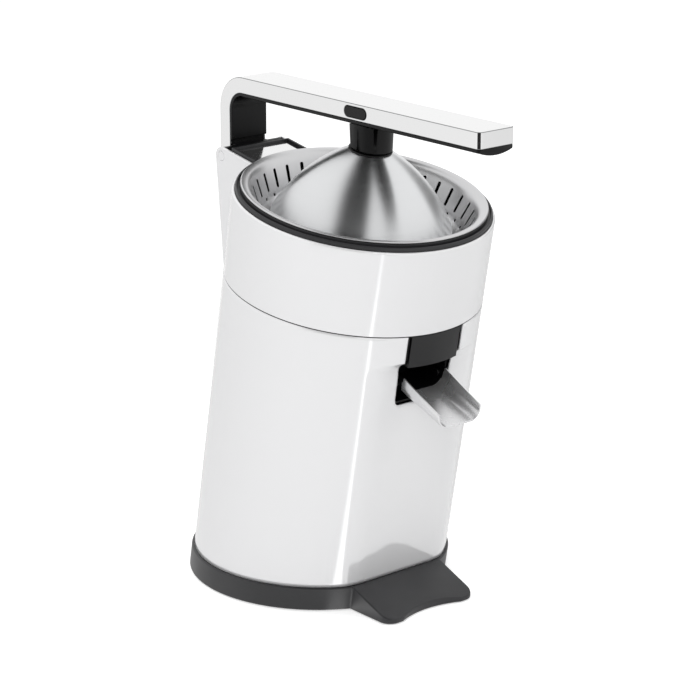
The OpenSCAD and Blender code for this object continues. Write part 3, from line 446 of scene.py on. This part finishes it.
def lower_shell():
    """Leaning sleeve: x = R sin t, e = larger of the circle and the front pocket, from the base up to the seam.

    The pocket is the front flat with a quarter-round shoulder above it. A closed band runs up to the lower edge of
    the spout opening, which has rounded corners, and an open band goes on from there to the seam.
    """
    def skin(t, s):
        x = BODY_R * np.sin(t)
        rise = np.clip((s - SHOULDER) / SHOULDER_R, 0, 1)
        pocket = -FLAT - SHOULDER_R * (1 - np.sqrt(1 - rise ** 2)) - 2 * np.clip(s - SHOULDER - SHOULDER_R, 0, None)
        e = np.where(np.cos(t) > 0.3, soft_max(-BODY_R * np.cos(t), pocket, CREASE), -BODY_R * np.cos(t))
        return leaned(x, e, s)

    side = math.asin(OPENING_HALF / BODY_R)
    strip_t = np.linspace(-side, side, 61)
    wrap_t = np.linspace(side, 2 * np.pi - side, 421)
    ring_t = np.concatenate([strip_t[:-1], wrap_t[:-1]])
    corner = np.clip(np.abs(BODY_R * np.sin(ring_t)) - (OPENING_HALF - OPENING_R), 0, OPENING_R)
    corner = np.where(np.cos(ring_t) > 0, corner, OPENING_R)
    top = OPENING_LOW + OPENING_R - np.sqrt(OPENING_R ** 2 - corner ** 2)
    front = np.maximum(-BODY_R * np.cos(ring_t), -FLAT)
    low = (BASE_TOP + 0.05 - front * math.sin(LEAN)) / math.cos(LEAN)
    band_rows = 48
    band = skin(ring_t, low + (top - low) * np.linspace(0, 1, band_rows)[:, None])
    rise = np.concatenate([np.linspace(OPENING_LOW + OPENING_R, SHOULDER + SHOULDER_R + 2, 60),
                           np.linspace(184, SEAM, 8)])
    # Beside the panel the opening is wider than below it.
    spread = OPENING_SPREAD * np.clip((rise[1:, None] - SHOULDER + 4) / 10, 0, 1)
    narrowed = (np.pi - np.arcsin((OPENING_HALF + spread) / BODY_R)) / (np.pi - side)
    upper = skin(np.pi + (wrap_t - np.pi) * narrowed, rise[1:, None])
    count = len(ring_t)
    closed = numbers(band_rows, count, close_columns=True)
    joint = closed[-1, len(strip_t) - 1:]
    opened = np.concatenate([joint[None], numbers(len(rise) - 1, len(wrap_t), first=band_rows * count)])
    points = np.concatenate([band.reshape(-1, 3), upper.reshape(-1, 3)])
    faces = np.concatenate([quads(closed).reshape(-1, 4), quads(opened).reshape(-1, 4)])
    piece = mesh_object("lower_shell_sheet", points, faces, "housing")
    sheet_wall(piece, SHEET).use_even_offset = True
    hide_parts("lower_shell")
    return finish(piece, BODY_STEEL)


def upper_ring():
    """Turned ring: straight wall with a rounded top edge, an inner ledge for the gasket and a lower flange."""
    inside = BODY_R - SHEET
    outline = rounded(
        [(70.6, RING_LOW), (BODY_R, RING_LOW), (BODY_R, RING_EDGE), (inside - 0.4, RING_EDGE),
         (inside - 0.4, RING_TOP - 3), (70.4, RING_TOP - 3), (70.4, RING_TOP - 4.5), (inside, RING_TOP - 4.5),
         (inside, RING_LOW + 1.8), (70.6, RING_LOW + 1.8)],
        [0.2, 0.25, 1.1, 0.3, 0.2, 0.2, 0.2, 0.4, 0.4, 0.2])
    piece = outward(turned("upper_ring_sheet", outline, "housing", 320))
    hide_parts("upper_ring")
    return finish(piece, BODY_STEEL)


def rim_gasket():
    """Turned moulding: a band with a rounded outer shoulder, a groove inside its crest and a seat for the strainer."""
    outline = rounded(
        [(GASKET_IN, RING_TOP - 2.9), (GASKET_OUT, RING_TOP - 2.9), (GASKET_OUT, GASKET_TOP), (CREST_IN, GASKET_TOP),
         (CREST_IN, GASKET_TOP - GROOVE), (SEAT_R, GASKET_TOP - GROOVE), (SEAT_R, GASKET_TOP + SEAT),
         (GASKET_IN, GASKET_TOP + SEAT)],
        [0.2, 0.2, 0.7, 0.4, 0.3, 0.3, 0.3, 0.3])
    piece = outward(turned("rim_gasket_band", outline, "housing", 256))
    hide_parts("rim_gasket")
    return finish(piece, FINISH["charcoal_plastic"])


def strainer():
    """Turned sheet with slots left open: a rolled rim, a cone wall and a floor.

    Columns fall on the slot sides and on the sides of the small holes between them, so open faces leave the slots.
    """
    bead_s = GASKET_TOP + SEAT + BEAD_R + 0.05
    roll = np.linspace(math.radians(-150), math.radians(100), 14)
    bead = np.stack([RIM_R - BEAD_R + BEAD_R * np.cos(roll), bead_s + BEAD_R * np.sin(roll)], axis=-1)
    slot_high, slot_low = GASKET_TOP - SLOT_DROP[0], GASKET_TOP - SLOT_DROP[1]
    hole_high, hole_low = GASKET_TOP - HOLE_DROP[0], GASKET_TOP - HOLE_DROP[1]

    def cone(s):
        inward, down = WALL_TAPER
        return np.stack([WALL_TOP_R - (GASKET_TOP - WALL_TOP_DROP - s) * inward / down, s], axis=-1)

    slot_rows = 8
    wall_s = np.concatenate([[slot_high + 1.2], np.linspace(slot_high, slot_low, slot_rows + 1),
                             [GASKET_TOP - 15.2, hole_high, hole_low]])
    floor = np.array([(56.6, 231.5), (55.2, 230.4), (52, 229.9), (48, 229.6), (35, 228.4), (22, 227.3), (15.5, 226.8)])
    flange = np.array([(72.6, GASKET_TOP + 2.45), (70.8, GASKET_TOP + 1.7), (69.5, GASKET_TOP + 0.4)])
    outline = np.concatenate([bead, flange, cone(wall_s), floor])
    rows = len(outline)
    first_slot = len(bead) + len(flange) + 1
    first_hole = first_slot + slot_rows + 2
    pitch = 2 * np.pi / SLOTS
    slot_w, hole_w = SLOT_HALF / SLOT_AT_R, HOLE_HALF / HOLE_AT_R
    steps = np.array([-hole_w, hole_w, pitch * 0.25, pitch / 2 - slot_w, pitch / 2 + slot_w, pitch * 0.75])
    t = (np.arange(SLOTS)[:, None] * pitch + steps).reshape(-1)
    columns = len(t)
    r, s = outline[:, 0][:, None], outline[:, 1][:, None]
    points = leaned(r * np.cos(t), r * np.sin(t), s + 0 * t)
    faces = quads(numbers(rows, columns, close_columns=True))
    row, column = np.indices(faces.shape[:2])
    in_sector = column % len(steps)
    slot = (in_sector == 3) & (row >= first_slot) & (row < first_slot + slot_rows)
    hole = (in_sector == 0) & (row == first_hole)
    # Two floor slots to three wall slots: in line with a small hole, then with a wall slot.
    sector = column // len(steps) % 3
    floor_column = ((in_sector == 0) & (sector == 0)) | ((in_sector == 3) & (sector == 1))
    floor_slot = floor_column & (row >= rows - 4) & (row < rows - 2)
    faces = faces[~(slot | hole | floor_slot)]
    piece = mesh_object("strainer_sheet", points, faces, "housing")
    smooth = piece.modifiers.new("pressed_smooth", "SUBSURF")
    smooth.levels = smooth.render_levels = 1
    sheet_wall(piece, STRAINER_SHEET)
    rounded_edges(piece, 0.06, 1, CUT_EDGE_ANGLE).harden_normals = True
    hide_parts("strainer_basket")
    return finish(piece, SATIN_STEEL)


def dome():
    """Turned cup: an arc from the flat top down to the rolled lower edge, with an even wall inside it."""
    outer = arc_between((DOME_TOP_R, DOME_TOP), (DOME_R, DOME_LOW + 1), DOME_ARC_R, 60)
    inner = arc_between((DOME_TOP_R, DOME_TOP - DOME_SHEET), (DOME_R - DOME_SHEET, DOME_LOW + 1),
                        DOME_ARC_R - DOME_SHEET, 60)
    turn = np.linspace(0, -np.pi, 9)
    hem = np.stack([DOME_R - 0.5 + 0.5 * np.cos(turn), DOME_LOW + 1 + 0.5 * np.sin(turn)], axis=-1)
    outline = np.concatenate([[(4.3, DOME_TOP)], outer, hem[1:-1], inner[::-1], [(4.3, DOME_TOP - DOME_SHEET)]])
    piece = outward(turned("press_dome_sheet", outline, "dome", 320))
    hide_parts("press_dome")
    return finish(piece, SPUN_STEEL)


def spout():
    """Sloping channel: a flat floor and upright walls joined by quarter-rounds, swept from the back to the lip.

    The walls' top edges come down towards the lip, w = high + (lip_high - high) k, and the lip slants back as it rises.
    """
    bottom = SPOUT_LOW + SPOUT_CORNER
    climb = np.linspace(1, 0, 20)
    turn = np.linspace(0, np.pi / 2, 12)[1:]
    half_x = np.concatenate([np.full(20, SPOUT_HALF), SPOUT_HALF - SPOUT_CORNER * (1 - np.cos(turn))])
    half_w = np.concatenate([np.full(20, bottom), bottom - SPOUT_CORNER * np.sin(turn)])
    half_k = np.concatenate([climb, 0 * turn])
    floor_x = np.linspace(half_x[-1], -half_x[-1], 12)[1:-1]
    x = np.concatenate([half_x, floor_x, -half_x[::-1]])
    base_w = np.concatenate([half_w, np.full(len(floor_x), SPOUT_LOW), half_w[::-1]])
    k = np.concatenate([half_k, 0 * floor_x, half_k[::-1]])
    along = np.linspace(0, 1, 90)[:, None]
    high = SPOUT_HIGH + (SPOUT_LIP_HIGH - SPOUT_HIGH) * np.clip((along - 0.3) / 0.7, 0, 1)
    w = base_w + k * (high - bottom)
    front = SPOUT_FRONT + 0.35 * (w - SPOUT_LOW)
    v = SPOUT_BACK + (front - SPOUT_BACK) * along
    c, s = math.cos(SPOUT_SLOPE), math.sin(SPOUT_SLOPE)
    points = upright(SPOUT_AT[0] + x + 0 * v, SPOUT_AT[1] + v * c - w * s, SPOUT_AT[2] + v * s + w * c)
    middle_v, middle_w = (v[:-1, :-1] + v[1:, 1:]) / 2, (w[:-1, :-1] + w[1:, 1:]) / 2
    pin_hole = (np.hypot(middle_v, middle_w) < PIN_HOLE_R) & (np.abs(x[:-1] + x[1:]) > 1.9 * SPOUT_HALF)
    faces = quads(numbers(*w.shape))[~pin_hole]
    piece = mesh_object("spout_channel", points, faces, "pouring_spout")
    sheet_wall(piece, SPOUT_SHEET)
    rounded_edges(piece, 0.25, 2, CUT_EDGE_ANGLE)
    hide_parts("spout")
    finish(piece, SPOUT_STEEL)
    # Behind the opening the channel is painted black: painted shade where it runs back into the dark opening.
    piece.data.materials.append(FINISH["black_plastic"])
    piece.data.polygons.foreach_set("material_index", (middle_v[~pin_hole] > SPOUT_SHADE_FROM).astype(np.int32))
    return piece


lower_shell()
upper_ring()
rim_gasket()
strainer()
dome()
spout()

# CAD nodes whose shape is right and whose edges want rounding: node, body, edge width in millimetres
ROUNDED_NODES = [
    ("arm_shell", "lever", 0.4), ("arm_liner", "lever", 0.5), ("arm_knuckle", "lever", 0.5),
    ("dome_holder", "lever", 0.5), ("hinge_tower", "housing", 0.6), ("tower_cover", "housing", 0.4),
    ("tower_plate", "housing", 0.2), ("base_tray", "housing", 0.9), ("spout_bezel", "housing", 0.4),
    ("release_button_left", "button_left", 0.3), ("release_button_right", "button_right", 0.3),
    ("dome_collar", "dome", 0.4), ("hinge_pin", "housing", 0.3), ("cord_gland", "housing", 0.4),
    ("base_feet", "housing", 0.4),
]
OWN_FINISH = {"hinge_tower": BODY_STEEL, "hinge_pin": BODY_STEEL, "spout_bezel": PANEL}
for node_name, body_name, edge in ROUNDED_NODES:
    rounded_copy = softened(node_name, body_name, edge)
    finish(rounded_copy, OWN_FINISH.get(node_name, FINISH[SLOT_OF[node_name]]))
    if node_name == "arm_shell":
        # The rounded edges take the darker steel: a painted dark reflection along the arm's edges
        rounded_copy.data.materials.append(EDGE_DARK_REFLECTION_STEEL)
        rounded_copy.modifiers["edge_rounding"].material = 1
    if node_name == "spout_bezel":
        # Only the panel's curved face is grey; the box behind it is black, painted shade for the inside of the opening
        # and the gap beside the panel.
        rounded_copy.data.materials.append(FINISH["black_plastic"])
        centre = np.empty(3 * len(rounded_copy.data.polygons))
        rounded_copy.data.polygons.foreach_get("center", centre)
        x, y, z = centre.reshape(-1, 3).T / MM
        e = (y - AXIS_Y) * math.cos(LEAN) + z * math.sin(LEAN)
        rounded_copy.data.polygons.foreach_set("material_index", (np.hypot(x, e) < PANEL_R - 1.0).astype(np.int32))


# Stage

def stage_sheet(name, corners, material):
    """A flat four-cornered sheet that isn't part of the object."""
    mesh = bpy.data.meshes.new(name)
    mesh.from_pydata(corners, [], [(0, 1, 2, 3)])
    piece = bpy.data.objects.new(name, mesh)
    bpy.context.scene.collection.objects.link(piece)
    piece.data.materials.append(material)
    return piece


def white_floor():
    """Matt white floor: white to the camera apart from the soft shadow, and shaded by direction to polished steel.

    Reflections in the leaning body show the floor, so its brightness to glossy rays follows the angle round the
    object, as the cards of a studio would: bright at the left and in front, darker at the right.
    """
    material, tree, output = new_material("matt_white_floor")
    ray_kind = add(tree, "ShaderNodeLightPath").outputs
    paint = add(tree, "ShaderNodeBsdfDiffuse", inputs={"Color": linear("#f4f4f4")}).outputs[0]
    glow = add(tree, "ShaderNodeEmission", inputs={"Strength": FLOOR_GLOW}).outputs[0]
    seen = tree.nodes.new("ShaderNodeAddShader")
    tree.links.new(paint, seen.inputs[0])
    tree.links.new(glow, seen.inputs[1])
    place = add(tree, "ShaderNodeTexCoord").outputs["Object"]
    # Gradient runs 0 to 1 from -X through -Y, +X and +Y.
    turned_place = add(tree, "ShaderNodeMapping", inputs={"Vector": place, "Location": (0, -AXIS_Y * MM, 0)}).outputs[0]
    angle = add(tree, "ShaderNodeTexGradient", inputs={"Vector": turned_place}, gradient_type="RADIAL").outputs["Fac"]
    shade = add(tree, "ShaderNodeValToRGB", inputs={"Fac": angle})
    ramp = shade.color_ramp
    for position, _ in FLOOR_LEVELS[1:-1]:
        ramp.elements.new(position)
    for element, (position, level) in zip(ramp.elements, FLOOR_LEVELS):
        element.position = position
        element.color = (level, level, level, 1)
    # A dark studio far out gives the lever's front corner its stripe, and a bright streak the body's highlight.
    reach = add(tree, "ShaderNodeVectorMath", inputs={0: turned_place}, operation="LENGTH").outputs["Value"]
    beside = add(tree, "ShaderNodeVectorMath", inputs={0: turned_place, 1: STREAK_ACROSS},
                 operation="DOT_PRODUCT").outputs["Value"]
    offset = add(tree, "ShaderNodeMath", inputs={0: beside, 1: STREAK_OFFSET}, operation="ADD").outputs[0]
    off_line = add(tree, "ShaderNodeMath", inputs={0: offset}, operation="ABSOLUTE").outputs[0]
    far, last, first, on_line = [
        add(tree, "ShaderNodeMapRange", inputs={"Value": value, "From Min": begin, "From Max": end},
            interpolation_type="SMOOTHSTEP").outputs["Result"]
        for value, (begin, end) in [(reach, DARK_REACH), (angle, DARK_LAST), (angle, DARK_FIRST),
                                    (off_line, STREAK_EDGE)]]
    ahead = add(tree, "ShaderNodeMath", inputs={0: last, 1: first}, operation="MULTIPLY").outputs[0]
    dark = add(tree, "ShaderNodeMath", inputs={0: far, 1: ahead}, operation="MULTIPLY").outputs[0]
    streak = add(tree, "ShaderNodeMapRange", inputs={"Value": on_line, "To Min": FLOOR_GAIN,
                                                     "To Max": STREAK_GAIN}).outputs["Result"]
    level = add(tree, "ShaderNodeMix", inputs={"Factor": dark, "A": streak, "B": DARK_LEVEL},
                data_type="FLOAT").outputs["Result"]
    cards = add(tree, "ShaderNodeEmission", inputs={"Color": shade.outputs["Color"], "Strength": level}).outputs[0]
    near = add(tree, "ShaderNodeMixShader", inputs={"Fac": ray_kind["Is Glossy Ray"]})
    tree.links.new(paint, near.inputs[1])
    tree.links.new(cards, near.inputs[2])
    mix = add(tree, "ShaderNodeMixShader", inputs={"Fac": ray_kind["Is Camera Ray"]})
    tree.links.new(near.outputs[0], mix.inputs[1])
    tree.links.new(seen.outputs[0], mix.inputs[2])
    tree.links.new(mix.outputs[0], output.inputs[0])
    return material


FLOOR_CORNERS = [(x * FLOOR_HALF, y * FLOOR_HALF, 0) for x, y in [(-1, -1), (1, -1), (1, 1), (-1, 1)]]
stage_sheet("floor", FLOOR_CORNERS, white_floor())

world = bpy.data.worlds.new("white_studio")
bpy.context.scene.world = world
world.use_nodes = True
sky = world.node_tree
sky.nodes.clear()
ray = add(sky, "ShaderNodeLightPath").outputs
look = add(sky, "ShaderNodeTexCoord").outputs["Generated"]


def compass(degrees):
    """The level direction at an angle from -Y towards +X."""
    return (math.sin(math.radians(degrees)), -math.cos(math.radians(degrees)), 0)


# How far a ray runs across the fan, up, to the fan and to the card, from -1 to 1
across_fan, up, to_fan, to_card = [
    add(sky, "ShaderNodeVectorMath", inputs={0: look, 1: direction}, operation="DOT_PRODUCT").outputs["Value"]
    for direction in [compass(FAN_ANGLE + 90), (0, 0, 1), compass(FAN_ANGLE), RIGHT_CARD]]
# Dark studio behind the camera, seen as the dark fan in the dome, and a dark card high on the right
SKY_EDGES = [(across_fan, FAN_LEFT), (across_fan, FAN_RIGHT), (up, FAN_UP), (to_fan, FAN_FRONT), (to_card, CARD_EDGE)]
*fan_edges, right_card = [
    add(sky, "ShaderNodeMapRange", inputs={"Value": value, "From Min": begin, "From Max": end},
        interpolation_type="SMOOTHSTEP").outputs["Result"]
    for value, (begin, end) in SKY_EDGES]
fan = fan_edges[0]
for fan_edge in fan_edges[1:]:
    fan = add(sky, "ShaderNodeMath", inputs={0: fan, 1: fan_edge}, operation="MULTIPLY").outputs[0]
fan_shade = add(sky, "ShaderNodeMapRange", inputs={"Value": fan, "To Min": SKY, "To Max": FAN_LEVEL}).outputs["Result"]
card_shade = add(sky, "ShaderNodeMapRange", inputs={"Value": right_card, "To Min": 1.0,
                                                    "To Max": CARD_LEVEL}).outputs["Result"]
open_sky = add(sky, "ShaderNodeMath", inputs={0: fan_shade, 1: card_shade}, operation="MULTIPLY").outputs[0]
shiny = add(sky, "ShaderNodeMath", inputs={0: ray["Is Glossy Ray"], 1: ray["Is Transmission Ray"]},
            operation="MAXIMUM").outputs[0]
lit = add(sky, "ShaderNodeMix", inputs={"Factor": shiny, "A": SKY_FILL, "B": open_sky},
          data_type="FLOAT").outputs["Result"]
strength = add(sky, "ShaderNodeMix", inputs={"Factor": ray["Is Camera Ray"], "A": lit, "B": 1.0},
               data_type="FLOAT").outputs["Result"]
background = add(sky, "ShaderNodeBackground", inputs={"Color": (1, 1, 1, 1), "Strength": strength})
sky_output = sky.nodes.new("ShaderNodeOutputWorld")
sky.links.new(background.outputs[0], sky_output.inputs[0])


def area_lamp(name, at, aim, size, power):
    """A soft square lamp at a place, turned to its aim, both in metres."""
    lamp = bpy.data.lights.new(name, "AREA")
    lamp.energy = power
    lamp.shape = "RECTANGLE"
    lamp.size, lamp.size_y = size
    piece = bpy.data.objects.new(name, lamp)
    bpy.context.scene.collection.objects.link(piece)
    direction = np.array(aim) - np.array(at)
    piece.location = at
    piece.visible_glossy = False
    piece.rotation_euler = Vector(direction).to_track_quat("-Z", "Y").to_euler()
    return piece


area_lamp("key_softbox", (-1.4, -1.0, 1.6), (0, 0, 0.15), (1.2, 1.2), 18)
area_lamp("fill_softbox", (1.6, -0.9, 1.0), (0, 0, 0.15), (1.0, 1.4), 9)
area_lamp("top_softbox", (0.1, 0.3, 2.0), (0, 0, 0.15), (1.6, 1.6), 14)

eye = Vector(upright(*CAMERA_AT))
aim = Vector(upright(*CAMERA_AIM))
camera = bpy.data.objects.new("camera", bpy.data.cameras.new("camera"))
bpy.context.scene.collection.objects.link(camera)
camera.data.lens = CAMERA_LENS
camera.data.sensor_width = 36
camera.data.clip_end = 50
camera.location = eye
camera.rotation_euler = (aim - eye).to_track_quat("-Z", "Y").to_euler()
bpy.context.scene.camera = camera
bpy.context.scene.view_settings.view_transform = "Standard"
